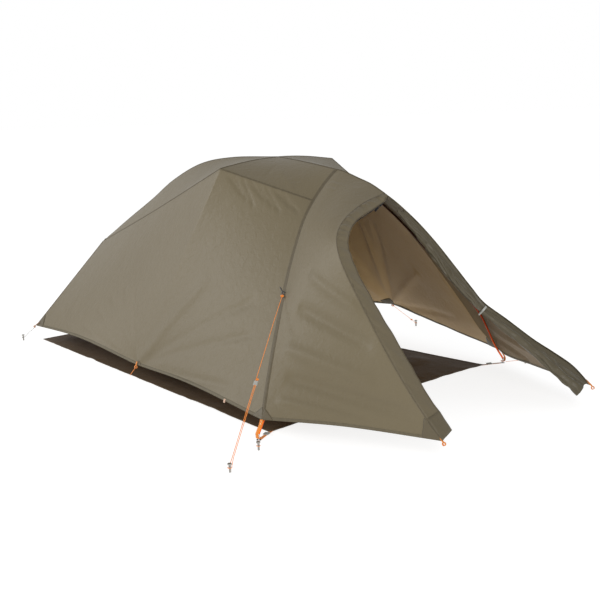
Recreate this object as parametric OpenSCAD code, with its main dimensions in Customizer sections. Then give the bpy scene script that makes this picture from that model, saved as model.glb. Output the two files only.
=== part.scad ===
// Two-person backpacking tent, pitched with its rain fly, poles and ground sheet only.
// +Z is up, the door end faces -Y, and "near" is the -X side. Origin: the centre of the
// ground sheet's underside. All lengths are in millimetres.

/* [Ground sheet] */
// Length of the ground sheet, door end to foot end
floor_l = 2180; // [2100:10:2220]
// Width of the ground sheet at the door end
floor_w_front = 1320; // [1260:10:1360]
// Width of the ground sheet at the foot end
floor_w_rear = 1070; // [1000:10:1100]
// Thickness of the sheet solids
sheet_t = 1.5; // [1:0.5:2]

/* [Poles] */
// Outer diameter of the pole tubes
pole_d = 8.7; // [8:0.1:9]
// Bore of the pole tubes
pole_bore_d = 7.4; // [7:0.1:7.6]
// Diameter of the elastic cord inside the poles
shock_d = 2.6; // [2:0.2:3]
// Length of the sleeve inside each pole joint
insert_l = 50; // [40:5:60]

/* [Fly] */
// Height of the fly over the crossing of the poles
peak_h = 1018; // [1010:1:1024]
// Height of the fly over the front hub
hub_h = 972; // [968:1:976]
// Length of the brow pole, tip to tip
brow_l = 664; // [656:2:668]
// Gap left at the seams between the panel solids, as a share of the panel
seam_gap = 0.004; // [0.003:0.001:0.006]

/* [Hardware] */
// Diameter of the guylines
guy_d = 2.4; // [2:0.1:2.4]
// Width of the corner webbing
web_w = 15; // [10:1:18]
// Thickness of the corner webbing
web_t = 1.2; // [1:0.1:1.4]
// Height of a driven stake above the ground
stake_h = 34; // [30:1:38]

/* [Hidden] */

olive = "#7d765f";
olive_dark = "#6b654f";
brown = "#3d3024";
orange = "#f08020";
anodised = "#a03018";
grey = "#c8c8c4";
steel = "#8a8d90";

eps = 0.05;
pole_r = pole_d / 2;
panel_n = 10;

// ---- plain geometry -------------------------------------------------------------------
function unit(v) = v / norm(v);
function mix3(a, b, t) = a + (b - a) * t;
function flip(p) = [-p.x, p.y, p.z];
function flip_all(pts) = [for (p = pts) flip(p)];
function before(pts, i) = i > 0 ? pts[i - 1] : 2 * pts[0] - pts[1];
function after(pts, i) = i < len(pts) - 1 ? pts[i + 1] : 2 * pts[i] - pts[i - 1];
function smooth(a, b, c, d, t) = 0.5 * (2 * b + (c - a) * t + (2 * a - 5 * b + 4 * c - d) * t * t
  + (3 * b - a - 3 * c + d) * t * t * t);
// A smooth curve through pts, as n + 1 points.
function curve(pts, n) = let (last = len(pts) - 1) [for (k = [0 : n])
  let (s = k * last / n, i = min(floor(s), last - 1))
  smooth(before(pts, i), pts[i], pts[i + 1], after(pts, i + 1), s - i)];
function slice(pts, a, b) = [for (i = [a : b]) pts[i]];
function tangent(pts, i) = unit(pts[min(i + 1, len(pts) - 1)] - pts[max(i - 1, 0)]);
// A sheet spanned between four edges; belly pushes it out near the left edge, low down.
function span_sheet(top, bottom, left, right, belly = [0, 0, 0]) =
  let (m = len(left) - 1, n = len(top) - 1)
  [for (i = [0 : m]) let (v = i / m) [for (j = [0 : n]) let (u = j / n)
    mix3(top[j], bottom[j], v) + mix3(left[i], right[i], u)
    - mix3(mix3(top[0], top[n], u), mix3(bottom[0], bottom[n], u), v)
    + belly * 64 * u * pow(1 - u, 3) * v * v * (1 - v)]];
function join_rows(a, b) = [for (i = [0 : len(a) - 1]) concat(a[i], slice(b[i], 1, len(b[i]) - 1))];
function grid_normal(g, i, j) = let (m = len(g) - 1, n = len(g[0]) - 1)
  unit(cross(g[min(i + 1, m)][j] - g[max(i - 1, 0)][j], g[i][min(j + 1, n)] - g[i][max(j - 1, 0)]));
function centre(g) = let (m = len(g) - 1, n = len(g[0]) - 1)
  (g[0][0] + g[m][0] + g[0][n] + g[m][n]) / 4;
function halves(q) = [[q[0], q[1], q[2]], [q[0], q[2], q[3]]];

// A sheet of thickness t centred on a grid of points.
module sheet_solid(grid, t = sheet_t, gap = seam_gap) {
  c = centre(grid);
  rows = len(grid);
  cols = len(grid[0]);
  count = rows * cols;
  lo = [for (i = [0 : rows - 1]) for (j = [0 : cols - 1])
    mix3(grid[i][j], c, gap) - grid_normal(grid, i, j) * t / 2];
  hi = [for (i = [0 : rows - 1]) for (j = [0 : cols - 1])
    mix3(grid[i][j], c, gap) + grid_normal(grid, i, j) * t / 2];
  quads = concat(
    [for (i = [0 : rows - 2]) for (j = [0 : cols - 2]) let (a = i * cols + j)
      each [[a, a + cols, a + cols + 1, a + 1],
        [a + count, a + 1 + count, a + cols + 1 + count, a + cols + count]]],
    [for (i = [0 : rows - 2]) let (a = i * cols, b = i * cols + cols - 1)
      each [[a, a + count, a + cols + count, a + cols], [b, b + cols, b + cols + count, b + count]]],
    [for (j = [0 : cols - 2]) let (a = j, b = (rows - 1) * cols + j)
      each [[a, a + 1, a + 1 + count, a + count], [b, b + count, b + 1 + count, b + 1]]]);
  polyhedron(points = concat(lo, hi), faces = [for (q = quads) each halves(q)]);
}

// Rings of points across a path; up keeps the rings from twisting.
function rings(path, radii, sides, up) = [for (i = [0 : len(path) - 1])
  let (t = tangent(path, i), x = unit(cross(up, t)), y = cross(t, x))
  for (k = [0 : sides - 1]) let (a = 360 * k / sides) path[i] + radii[i] * (x * cos(a) + y * sin(a))];
function walls(count, sides, first = 0) = [for (i = [0 : count - 2]) for (k = [0 : sides - 1])
  let (a = first + i * sides + k, b = first + i * sides + (k + 1) % sides)
  each halves([a, a + sides, b + sides, b])];
function turned(faces) = [for (f = faces) [f[2], f[1], f[0]]];

// A solid rod swept along a path, with one radius for each point of the path.
module rod(path, radii, sides = 10, up = [0, 0, 1]) {
  n = len(path);
  polyhedron(points = rings(path, radii, sides, up), faces = concat(walls(n, sides),
    [[for (k = [0 : sides - 1]) k], [for (k = [0 : sides - 1]) n * sides - 1 - k]]));
}
// A tube swept along a path.
module pipe(path, r_out, r_in, sides = 12, up = [0, 0, 1]) {
  n = len(path);
  inner = n * sides;
  polyhedron(points = concat(rings(path, [for (p = path) r_out], sides, up),
      rings(path, [for (p = path) r_in], sides, up)),
    faces = concat(walls(n, sides), turned(walls(n, sides, inner)),
      [for (k = [0 : sides - 1]) let (b = (k + 1) % sides) each halves([k, b, inner + b, inner + k])],
      [for (k = [0 : sides - 1]) let (a = inner - sides + k, b = inner - sides + (k + 1) % sides)
        each halves([a, a + inner, b + inner, b])]));
}
module cord(path, d = guy_d) {
  rod(path, [for (p = path) d / 2], 8, [0.1, 0.2, 1]);
}
// Children with their own z axis along dir and their x axis near side.
module place(at, dir, side = [1, 0, 0]) {
  z = unit(dir);
  y = unit(cross(z, side));
  x = cross(y, z);
  multmatrix([[x.x, y.x, z.x, at.x], [x.y, y.y, z.y, at.y], [x.z, y.z, z.z, at.z], [0, 0, 0, 1]])
    children();
}
// A flat strap from a to b; side is the direction of its width.
module strap(a, b, w = web_w, t = web_t, side = [1, 0, 0]) {
  place(a, b - a, side) translate([-w / 2, -t / 2, 0]) cube([w, t, norm(b - a)]);
}

// ---- lines of the pitched fly ---------------------------------------------------------
hub = [0, -807, hub_h];
cross_y = -411;
brow_tip = [-338, -413, 988];
arch_lean = 0.333;
function on_arch(x, z) = [-x, hub.y - arch_lean * (hub_h - z), z];
arch_top = [hub, on_arch(50, 942), on_arch(105, 905), on_arch(174, 852)];
arch_low = [on_arch(174, 852), on_arch(250, 782), on_arch(340, 672), on_arch(430, 545),
  on_arch(515, 410), on_arch(590, 286), on_arch(655, 172), [-722, -1124, 76]];
ridge_front = [hub, [0, -600, 999], [0, cross_y, peak_h]];
ridge_rear = [[0, cross_y, peak_h], [0, -60, 1008], [0, 214, 970], [0, 475, 877], [0, 700, 762],
  [0, 980, 628], [0, 1240, 498]];
brow_line = [[0, cross_y, peak_h], [-170, -412, 1010], brow_tip];
rear_top = [-25, 1238, 486];
rear_corner = [-564, 1100, 85];
front_corner = arch_low[7];
hem_mid_near = [-625, -60, 80];
hem_mid_far = [-790, -360, 180];
vest_corner = [-458, -1804, 88];
door_top = [0, -1100, 880];
vest_ridge = [hub, [0, -861, 963], [0, -940, 940], [0, -1020, 916], door_top];
flap_seam = [door_top, [-125, -1117, 858], [-215, -1138, 834], [-300, -1165, 804],
  [-372, -1203, 762], [-414, -1247, 713], [-440, -1310, 642], [-456, -1420, 519],
  [-472, -1550, 374], [-474, -1680, 228], vest_corner];
door_edge = [[-8, -1116, 862], [-44, -1129, 846], [-172, -1158, 813], [-240, -1174, 795],
  [-305, -1203, 761], [-350, -1240, 720], [-380, -1305, 648], [-396, -1430, 508],
  [-400, -1560, 364], [-402, -1680, 230], [-388, -1789, 107]];
far_edge = [door_top, [40, -1140, 833], [84, -1209, 755], [112, -1285, 671], [130, -1365, 582],
  [147, -1440, 497], [163, -1492, 439], [227, -1554, 370], [303, -1630, 284], [371, -1685, 223],
  [430, -1738, 163], flip(vest_corner)];

function roof() =
  let (brow = curve(brow_line, panel_n))
  join_rows(
    span_sheet(curve(ridge_front, 6), curve([arch_top[3], brow_tip], 6),
      curve(arch_top, panel_n), brow),
    span_sheet(curve(ridge_rear, 14), curve([brow_tip, [-181, 412, 730], rear_top], 14),
      brow, curve([[0, 1240, 498], rear_top], panel_n)));
function side_wall(mid, mid_front, mid_rear) =
  let (crease = curve([brow_tip, mid], panel_n))
  join_rows(
    span_sheet(curve([arch_top[3], brow_tip], 8), curve([front_corner, mid_front, mid], 8),
      curve(arch_low, panel_n), crease),
    span_sheet(curve([brow_tip, [-181, 412, 730], rear_top], 10),
      curve([mid, mid_rear, rear_corner], 10), crease, curve([rear_top, rear_corner], panel_n)));
arch_line = concat(slice(arch_top, 0, 2), arch_low);

// ---- pole lines -----------------------------------------------------------------------
pole_drop = pole_r + 5;
leg_foot = [-748, -1132, 26];
hub_point = hub - [0, 0, 13];
function inside(p) = p + unit([-p.x, 0, 300 - p.z]) * pole_drop - [0, 8, 0];
leg_start = unit(inside(arch_top[2]) - hub_point);
socket_marks = [6, 34, 62];
leg_near = curve(concat([for (d = socket_marks) hub_point + leg_start * d],
  [for (i = [0 : 5]) inside(arch_low[i])], [[-644, -1096, 160], leg_foot]), 40);
// The far leg bows forward and pushes the vestibule cloth out.
far_points = [[166, -857, 843], [240, -886, 775], [330, -934, 668], [419, -988, 543], [501, -1054, 410],
  [566, -1131, 286], [626, -1139, 190], [683, -1134, 106], flip(leg_foot)];
far_start = unit(far_points[0] - hub_point);
leg_far = curve(concat([for (d = socket_marks) hub_point + far_start * d], far_points), 44);
ridge_start = unit([0, 190, 22]);
ridge_line = curve([hub_point + ridge_start * 6, hub_point + ridge_start * 34, [0, -600, 985],
  [0, cross_y, peak_h - 20], [0, -200, 1000], [0, 20, 986], [0, 214, 956], [0, 475, 864],
  [0, 700, 748], [0, 980, 612], [0, 1130, 532], [0, 1196, 460], [0, 1196, 340], [0, 1172, 180],
  [0, 1142, 26]], 84);
ridge_cuts = [0, 15, 28, 39, 48, 57, 72, 84];
brow_z = peak_h - 20 + pole_d + 0.6;
brow_half = brow_l / 2 - 8;
brow_axis = [[-brow_half, -412, 977], [-200, -412, 998], [-60, -412, brow_z - 1], [60, -412, brow_z - 1],
  [200, -412, 998], [brow_half, -412, 977]];
leg_cut = 21;
function rest(line, from) = slice(line, from, len(line) - 1);

module pole(path, up = [0, 1, 0.2]) {
  color(anodised) pipe(path, pole_r, pole_bore_d / 2, 12, up);
}
module leg_pole_near_upper() {
  pole(slice(leg_near, 0, leg_cut));
}
module leg_pole_near_lower() {
  pole(rest(leg_near, leg_cut));
}
module leg_pole_far_upper() {
  pole(slice(leg_far, 0, leg_cut));
}
module leg_pole_far_lower() {
  pole(rest(leg_far, leg_cut));
}
module ridge_pole(k) {
  pole(slice(ridge_line, ridge_cuts[k - 1], ridge_cuts[k]), [1, 0, 0]);
}
module brow_pole() {
  pole(curve(brow_axis, 20), [0, 1, 0]);
}
// Sleeves inside the pole joints.
module insert_at(p, dir) {
  place(p - unit(dir) * insert_l / 2, dir, [0.3, 1, 0.2]) difference() {
    cylinder(h = insert_l, d = pole_bore_d - 0.9, $fn = 32);
    translate([0, 0, -1]) cylinder(h = insert_l + 2, d = shock_d + 1.4, $fn = 32);
  }
}
module pole_inserts() {
  color(grey) {
    for (line = [leg_near, leg_far]) insert_at(line[leg_cut], tangent(line, leg_cut));
    for (k = [1 : 6]) insert_at(ridge_line[ridge_cuts[k]], tangent(ridge_line, ridge_cuts[k]));
  }
}
// The elastic cord runs through the hub and down every pole.
module shock_cord() {
  color("white") {
    for (line = [leg_near, leg_far]) let (run = slice(line, 2, len(line) - 2))
      rod(run, [for (p = run) shock_d / 2], 8, [0, 1, 0.2]);
    rod(slice(ridge_line, 2, 83), [for (i = [2 : 83]) shock_d / 2], 8, [1, 0, 0]);
  }
}

// ---- plastic and metal fittings on the poles ------------------------------------------
hub_wall = 2;
socket_l = 30;
module hub_socket(dir, r) {
  place(hub_point, dir, [0.2, 1, 0.1]) translate([0, 0, 2]) cylinder(h = socket_l, r = r, $fn = 40);
}
module front_hub() {
  color("#303030") difference() {
    union() {
      translate(hub_point) sphere(r = pole_r + hub_wall + 0.6, $fn = 48);
      for (dir = [leg_start, far_start, ridge_start]) hub_socket(dir, pole_r + hub_wall);
    }
    for (dir = [leg_start, far_start, ridge_start])
      place(hub_point, dir, [0.2, 1, 0.1]) translate([0, 0, 5.5])
        cylinder(h = socket_l, r = pole_r + 0.15, $fn = 40);
  }
}
clip_w = 20;
module swivel_clip() {
  color("#303030") difference() {
    union() {
      translate([0, -412, brow_z]) rotate([0, 90, 0])
        cylinder(h = clip_w, r = pole_r + 2, center = true, $fn = 40);
      translate([0, cross_y, peak_h - 20]) rotate([90, 0, 0])
        cylinder(h = clip_w, r = pole_r + 2, center = true, $fn = 40);
    }
    translate([0, -412, brow_z]) rotate([0, 90, 0])
      cylinder(h = clip_w + 2, r = pole_r + 0.35, center = true, $fn = 40);
    translate([0, cross_y, peak_h - 20]) rotate([90, 0, 0])
      cylinder(h = clip_w + 2, r = pole_r + 0.5, center = true, $fn = 40);
  }
}
// End caps of the brow pole, where the fly's pockets hold it.
module brow_pole_caps() {
  tip = brow_axis[0];
  out = unit(brow_axis[0] - brow_axis[1]);
  color("#303030") for (s = [0, 1]) mirror([s, 0, 0]) place(tip, out, [0, 1, 0]) {
    translate([0, 0, 0.2]) cylinder(h = 5, r = pole_r + 0.6, $fn = 32);
    translate([0, 0, -14]) cylinder(h = 14.2 + eps, r = pole_bore_d / 2 - 0.2, $fn = 32);
  }
}
// Turned tips that stand in the grommets at the three pole feet.
tip_r = 3;
module pole_tip(end, inner) {
  dir = unit(inner - end);
  color(grey) {
    place(end, dir, [0.2, 1, 0.1]) {
      translate([0, 0, -1]) cylinder(h = 17, r = pole_bore_d / 2 - 0.2, $fn = 32);
      translate([0, 0, -4]) cylinder(h = 4 - 0.1 + eps, r = pole_r + 0.8, $fn = 32);
    }
    translate([end.x, end.y, 0]) cylinder(h = end.z - 3, r = tip_r, $fn = 32);
  }
}
module pole_tips() {
  pole_tip(leg_foot, before(leg_near, len(leg_near) - 1));
  pole_tip(flip(leg_foot), before(leg_far, len(leg_far) - 1));
  pole_tip([0, 1142, 26], ridge_line[83]);
}

// ---- fly panels -----------------------------------------------------------------------
ridge_gap = 0.8;
// The long panels are made as three pieces each, door end to foot end.
roof_cuts = [0, 6, 13, 20];
side_cuts = [0, 8, 13, 18];
module panel_piece(grid, cuts, k) {
  color(olive) sheet_solid([for (row = grid) slice(row, cuts[k - 1], cuts[k])]);
}
module fly_roof_near(k) {
  translate([-ridge_gap, 0, 0]) panel_piece(roof(), roof_cuts, k);
}
module fly_roof_far(k) {
  mirror([1, 0, 0]) fly_roof_near(k);
}
module fly_side_near(k) {
  panel_piece(side_wall(hem_mid_near, [-672, -560, 98], [-604, 520, 114]), side_cuts, k);
}
module fly_side_far(k) {
  mirror([1, 0, 0]) panel_piece(side_wall(hem_mid_far, [-756, -740, 130], [-655, 420, 150]), side_cuts, k);
}
module fly_rear_wall() {
  color(olive) sheet_solid(span_sheet(curve([rear_top, flip(rear_top)], 10),
    curve([rear_corner, [0, 1172, 104], flip(rear_corner)], 10),
    curve([rear_top, rear_corner], panel_n), curve([flip(rear_top), flip(rear_corner)], panel_n)));
}
module vestibule_near() {
  color(olive) sheet_solid(span_sheet(curve(vest_ridge, 10),
    curve([front_corner, [-592, -1450, 92], vest_corner], 10),
    curve(arch_line, 20), curve(flap_seam, 20)));
}
module vestibule_far() {
  color(olive) sheet_solid(span_sheet(curve(vest_ridge, 12),
    curve([flip(front_corner), [712, -1190, 52], [620, -1420, 62], flip(vest_corner)], 12),
    curve(flip_all(arch_line), 22), curve(far_edge, 22), [0.8, -0.5, 0.33] * 42));
}
// Double strip that covers the zip on the near side of the door.
module storm_flap() {
  color(olive_dark) sheet_solid(span_sheet(curve([flap_seam[0], door_edge[0]], 3),
    curve([vest_corner, door_edge[10]], 3), curve(flap_seam, 30), curve(door_edge, 30)), sheet_t, 0.008);
}

// ---- rolled door and its tie ----------------------------------------------------------
roll_line = [[22, -1150, 812], [62, -1214, 728], [88, -1290, 638], [108, -1368, 548],
  [134, -1446, 462], [152, -1492, 412], [212, -1556, 342], [288, -1634, 256], [350, -1708, 178],
  [408, -1790, 96]];
roll_r = [9, 20, 26, 28, 23, 17, 25, 29, 34, 36];
tie_at = roll_line[5];
roll_dir = unit(roll_line[6] - roll_line[4]);
module rolled_door() {
  color(olive_dark) rod(curve(roll_line, 36), [for (r = curve([for (r = roll_r) [r, 0, 0]], 36)) r.x], 14);
}
module door_tie() {
  color(grey) place(tie_at, roll_dir) difference() {
    translate([0, 0, -4]) cylinder(h = 8, r = 20.5, $fn = 48);
    translate([0, 0, -5]) cylinder(h = 10, r = 19.2, $fn = 48);
  }
}
module tie_toggle() {
  color(grey) place(tie_at, roll_dir) translate([-24, 0, 0]) rotate([90, 0, 0])
    cylinder(h = 28, r = 3.2, center = true, $fn = 32);
}

// ---- zip ------------------------------------------------------------------------------
coil_r = 1.6;
zip_a = door_edge[1];
zip_b = door_edge[2];
zip_dir = unit(zip_b - zip_a);
zip_out = unit([0, -0.745, 0.667]);
zip_line = concat([mix3(zip_a, zip_b, -0.12), mix3(zip_a, zip_b, 0.5), zip_b],
  slice(curve(slice(door_edge, 2, 10), 27), 1, 27));
zip_drop = 9;
module zip_coil() {
  color("#20201c") rod([for (p = zip_line) p - zip_out * zip_drop], [for (p = zip_line) coil_r], 8);
}
slider_l = 12;
slider_w = 9;
slider_h = 6;
slider_at = zip_a + zip_dir * 8 - zip_out * zip_drop;
// Slider body, open along the side where the tape runs out, with the pull's bail inside.
module zip_slider() {
  color(steel) place(slider_at, zip_dir, zip_out) {
    difference() {
      translate([-slider_h / 2, -slider_w / 2, -slider_l / 2]) cube([slider_h, slider_w, slider_l]);
      translate([0, 0, -slider_l]) cylinder(h = 2 * slider_l, r = coil_r + 0.5, $fn = 32);
      translate([-0.6, 0, -slider_l]) cube([1.2, slider_w, 2 * slider_l]);
    }
    difference() {
      translate([-slider_h / 2 - bail_h + eps, -1.5, -3.5]) cube([bail_h, 3, 7]);
      translate([-pin_out, -3, 0]) rotate([-90, 0, 0]) cylinder(h = 6, r = 1.5, $fn = 32);
    }
  }
}
bail_h = 4.5;
pin_out = slider_h / 2 + 2.4;
pin_at = slider_at - zip_out * pin_out;
pin_axis = unit(cross(zip_dir, zip_out));
hang_dir = unit([0, 0, -1] + pin_axis * pin_axis.z);
// Pull tab, hanging from the slider's bail on the inner side of the door.
module zip_pull() {
  color(orange) place(pin_at, hang_dir, cross(pin_axis, hang_dir)) {
    rotate([-90, 0, 0]) cylinder(h = 7, r = 1.1, center = true, $fn = 32);
    for (s = [-1, 1]) translate([-1.1, s * 3 - 0.8, 0]) cube([2.2, 1.6, 9]);
    translate([-1.1, -3.8, 8]) cube([2.2, 7.6, 24]);
  }
}

// ---- ground sheet and corner hardware -------------------------------------------------
half_l = floor_l / 2;
corner_front = [-floor_w_front / 2, -half_l, 0];
corner_rear = [-floor_w_rear / 2, half_l, 0];
module ground_sheet() {
  scoop = 12;
  color(brown) linear_extrude(sheet_t) polygon([[corner_front.x, corner_front.y],
    [-floor_w_front / 4, -half_l + scoop], [floor_w_front / 4, -half_l + scoop],
    [-corner_front.x, corner_front.y], [-corner_rear.x, corner_rear.y], [0, half_l - scoop],
    [corner_rear.x, corner_rear.y]]);
}
foot_near = [leg_foot.x, leg_foot.y, 0];
foot_rear = [0, 1142, 0];
ring_r = 10;
function toward(a, b, d) = a + unit(b - a) * d;
// Webbing from the fly's front corners down to the rings round the pole feet.
module fly_corner_straps() {
  top = front_corner + [-9, -8, -4];
  bend = foot_near + [-12, -4, 32];
  foot = foot_near + [0, 0, 12];
  color(orange) for (s = [0, 1]) mirror([s, 0, 0]) {
    strap(top, bend, web_w, web_t, [0.3, -1, 0]);
    strap(bend, foot + [-9, -3, 0], web_w - 3, web_t, [0.3, -1, 0]);
    translate(foot - [0, 0, 1]) difference() {
      cylinder(h = 2, r = ring_r, $fn = 40);
      translate([0, 0, -1]) cylinder(h = 4, r = tip_r + 0.6, $fn = 32);
    }
  }
}
// Webbing from the ground sheet's corners and foot end out to the pole feet.
module sheet_corner_straps() {
  color("#e8a070") {
    for (s = [0, 1]) mirror([s, 0, 0]) {
      inner = corner_front + [0, 0, sheet_t + web_t];
      outer = foot_near + [0, 0, sheet_t + web_t];
      strap(toward(inner, outer, -20), toward(outer, inner, ring_r), web_w, web_t, [0, 1, 0]);
    }
    strap([0, half_l - 34, sheet_t + web_t], [0, foot_rear.y - ring_r, sheet_t + web_t]);
  }
}
module corner_grommets() {
  color(steel) {
    for (s = [0, 1]) mirror([s, 0, 0]) translate(foot_near + [0, 0, 1.5]) grommet();
    translate(foot_rear + [0, 0, 1.5]) grommet();
  }
}
module grommet() {
  difference() {
    cylinder(h = 3, r = ring_r, $fn = 40);
    translate([0, 0, -1]) cylinder(h = 5, r = tip_r + 0.5, $fn = 32);
  }
}
// Plastic hooks that shorten the ground sheet's front straps.
module corner_hooks() {
  color(grey) for (s = [0, 1]) mirror([s, 0, 0]) {
    at = toward(corner_front, foot_near, 16) + [0, 0, sheet_t + 2 * web_t + 0.4];
    place(at, unit(foot_near - corner_front), [0, 0, 1]) difference() {
      translate([0, -11, 0]) cube([3.5, 22, 24]);
      for (z = [3.5, 14.5]) translate([-1, -8, z]) cube([6, 16, 6]);
    }
  }
}

// ---- stakes ---------------------------------------------------------------------------
stake_points = [["leg_guy", [-1025, -1316, 0]], ["front_near", [-815, -1214, 0]],
  ["front_far", [815, -1214, 0]], ["side_far", [1057, -287, 0]], ["rear_near", [-622, 1156, 0]],
  ["rear_far", [622, 1156, 0]]];
blade_l = 5;
blade_t = 1.2;
// The part of a three-bladed stake that stands above the ground.
module stake(at) {
  color(steel) translate(at) {
    for (a = [90, 210, 330]) rotate([0, 0, a]) translate([0, -blade_t / 2, 0])
      cube([blade_l, blade_t, stake_h - 3]);
    translate([0, 0, stake_h - 5]) cylinder(h = 5, r = 8, $fn = 40);
    cylinder(h = stake_h - 4, r = 1.2, $fn = 24);
  }
}

// ---- cords ----------------------------------------------------------------------------
grip_z = 18;
// A loop of cord round a stake, from where its two strands meet.
function loop_round(at, dir, r = 8, steps = 10) = let (a0 = atan2(dir.y, dir.x))
  [for (k = [0 : steps]) let (a = a0 + 40 + 280 * k / steps) at + [r * cos(a), r * sin(a), grip_z]];
guy_top = [-464, -968, 509];
guy_stake = stake_points[0][1];
guy_dir = unit(guy_top - (guy_stake + [0, 0, grip_z]));
strand = 2.6;
guy_side = unit(cross(guy_dir, [0, 0, 1]));
guy_foot = guy_stake + [0, 0, grip_z];
function guy_at(d, s) = guy_foot + guy_dir * d + guy_side * s * strand;
guy_turn = loop_round(guy_stake, guy_dir);
guy_line = concat([guy_top], [for (d = [700, 500, 390, 380, 300, 200, 100, 40]) guy_at(d, -1)],
  guy_turn, [for (d = [40, 100, 200, 300, 386]) guy_at(d, 1)]);
module guy_leg_near() {
  color(orange) cord(guy_line);
}
lock_at = guy_at(372, 0);
// Flat tensioner that both strands run through.
module line_lock() {
  color(grey) place(lock_at, guy_dir, guy_side) difference() {
    translate([-8, -2.6, -9]) cube([16, 5.2, 18]);
    for (s = [-1, 1]) translate([s * strand, 0, 0]) cube([guy_d + 1, guy_d + 1, 20], center = true);
  }
}
side_stake = stake_points[3][1];
side_top = flip(hem_mid_far) + [12, 1, -10];
side_knot = mix3(side_top, side_stake + [0, 0, grip_z], 0.8);
side_line = concat([side_top, mix3(side_top, side_knot, 0.35), mix3(side_top, side_knot, 0.7), side_knot],
  loop_round(side_stake, side_top - side_stake));
module guy_side_far() {
  color(orange) cord(side_line, 2);
}
function foot_cord(foot, at) = let (start = foot + [0, 0, 8], d = at + [0, 0, grip_z] - start)
  concat([start + unit([d.x, d.y, 0]) * (ring_r + 4), start + d * 0.5, start + d * 0.8],
    loop_round(at, start - at));
module stake_cord_near() {
  color(orange) cord(foot_cord(foot_near, stake_points[1][1]), 2);
}
module stake_cord_far() {
  color(orange) cord(foot_cord(flip(foot_near), stake_points[2][1]), 2);
}
rear_hem = rear_corner + [-6, 8, -12];
module rear_cord_near() {
  color("#d8c8b0") cord(concat([rear_hem, mix3(rear_hem, stake_points[4][1] + [0, 0, grip_z], 0.5)],
    loop_round(stake_points[4][1], rear_hem - stake_points[4][1])), 2);
}
module rear_cord_far() {
  mirror([1, 0, 0]) rear_cord_near();
}
side_hem = hem_mid_near + [-3, 4, -10];
sheet_loop = [-606, 40, 6];
module side_cord_near() {
  color(orange) cord([for (t = [0, 0.35, 0.7, 1]) mix3(side_hem, sheet_loop, t)]);
}

// Small webbing loops sewn to the fly's guy points and corners; axis is the way the hole faces.
loop_r = 7;
loop_bore = 5.6;
module guy_loop(at, axis) {
  place(at, axis, [0, 0, 1]) difference() {
    cylinder(h = 8, r = loop_r, center = true, $fn = 32);
    cylinder(h = 10, r = loop_bore, center = true, $fn = 32);
  }
}
leg_loop = guy_top + [3, 2, 4];
module fly_guy_loops() {
  color(orange) {
    guy_loop(leg_loop, [0, 1, 0]);
    guy_loop(flip(leg_loop) + [5, -3, 1], [0, 1, 0]);
    for (s = [0, 1]) mirror([s, 0, 0]) {
      guy_loop(rear_corner + [-7, 7, -6], [1, 0, 0]);
      guy_loop(vest_corner + [0, -8, -9], [1, 0, 0]);
    }
    guy_loop([0, 1250, 490], [1, 0, 0]);
    guy_loop(hem_mid_near + [-5, 0, -9], [0, 1, 0]);
    guy_loop(flip(hem_mid_far) + [8, 0, -7], [0, 1, 0]);
  }
}

front_hub();
leg_pole_near_upper();
leg_pole_near_lower();
leg_pole_far_upper();
leg_pole_far_lower();
ridge_pole(1);  // ridge_pole_1
ridge_pole(2);  // ridge_pole_2
ridge_pole(3);  // ridge_pole_3
ridge_pole(4);  // ridge_pole_4
ridge_pole(5);  // ridge_pole_5
ridge_pole(6);  // ridge_pole_6
ridge_pole(7);  // ridge_pole_7
brow_pole();
pole_inserts();
shock_cord();
swivel_clip();
brow_pole_caps();
pole_tips();
fly_roof_near(1);  // fly_roof_near_1
fly_roof_near(2);  // fly_roof_near_2
fly_roof_near(3);  // fly_roof_near_3
fly_roof_far(1);  // fly_roof_far_1
fly_roof_far(2);  // fly_roof_far_2
fly_roof_far(3);  // fly_roof_far_3
fly_side_near(1);  // fly_side_near_1
fly_side_near(2);  // fly_side_near_2
fly_side_near(3);  // fly_side_near_3
fly_side_far(1);  // fly_side_far_1
fly_side_far(2);  // fly_side_far_2
fly_side_far(3);  // fly_side_far_3
fly_rear_wall();
vestibule_near();
vestibule_far();
storm_flap();
rolled_door();
door_tie();
tie_toggle();
zip_coil();
zip_slider();
zip_pull();
ground_sheet();
fly_corner_straps();
sheet_corner_straps();
corner_grommets();
corner_hooks();
fly_guy_loops();
guy_leg_near();
line_lock();
guy_side_far();
stake_cord_near();
stake_cord_far();
rear_cord_near();
rear_cord_far();
side_cord_near();
stake(stake_points[0][1]);  // stake_leg_guy
stake(stake_points[1][1]);  // stake_front_near
stake(stake_points[2][1]);  // stake_front_far
stake(stake_points[3][1]);  // stake_side_far
stake(stake_points[4][1]);  // stake_rear_near
stake(stake_points[5][1]);  // stake_rear_far
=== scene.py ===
import math

import bmesh
import bpy
import numpy as np
from mathutils import Matrix, Vector, noise


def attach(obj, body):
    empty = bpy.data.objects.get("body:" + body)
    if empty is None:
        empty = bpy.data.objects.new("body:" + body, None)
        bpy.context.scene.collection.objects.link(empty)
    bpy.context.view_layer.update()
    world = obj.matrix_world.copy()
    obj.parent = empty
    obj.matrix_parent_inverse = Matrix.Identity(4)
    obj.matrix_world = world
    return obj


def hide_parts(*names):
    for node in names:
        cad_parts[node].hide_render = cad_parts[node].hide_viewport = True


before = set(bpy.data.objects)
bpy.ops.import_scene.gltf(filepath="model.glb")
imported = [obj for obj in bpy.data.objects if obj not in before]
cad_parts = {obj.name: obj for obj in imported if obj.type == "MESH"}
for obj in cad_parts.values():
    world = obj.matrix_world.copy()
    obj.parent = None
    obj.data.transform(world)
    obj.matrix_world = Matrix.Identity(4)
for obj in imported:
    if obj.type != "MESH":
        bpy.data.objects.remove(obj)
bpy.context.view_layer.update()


# Camera. It stands off the near front corner at about the height of the tent, with a moderate
# long lens, and is held turned by two degrees.
camera_at = Vector((-2.958, -3.996, 1.282))
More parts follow.
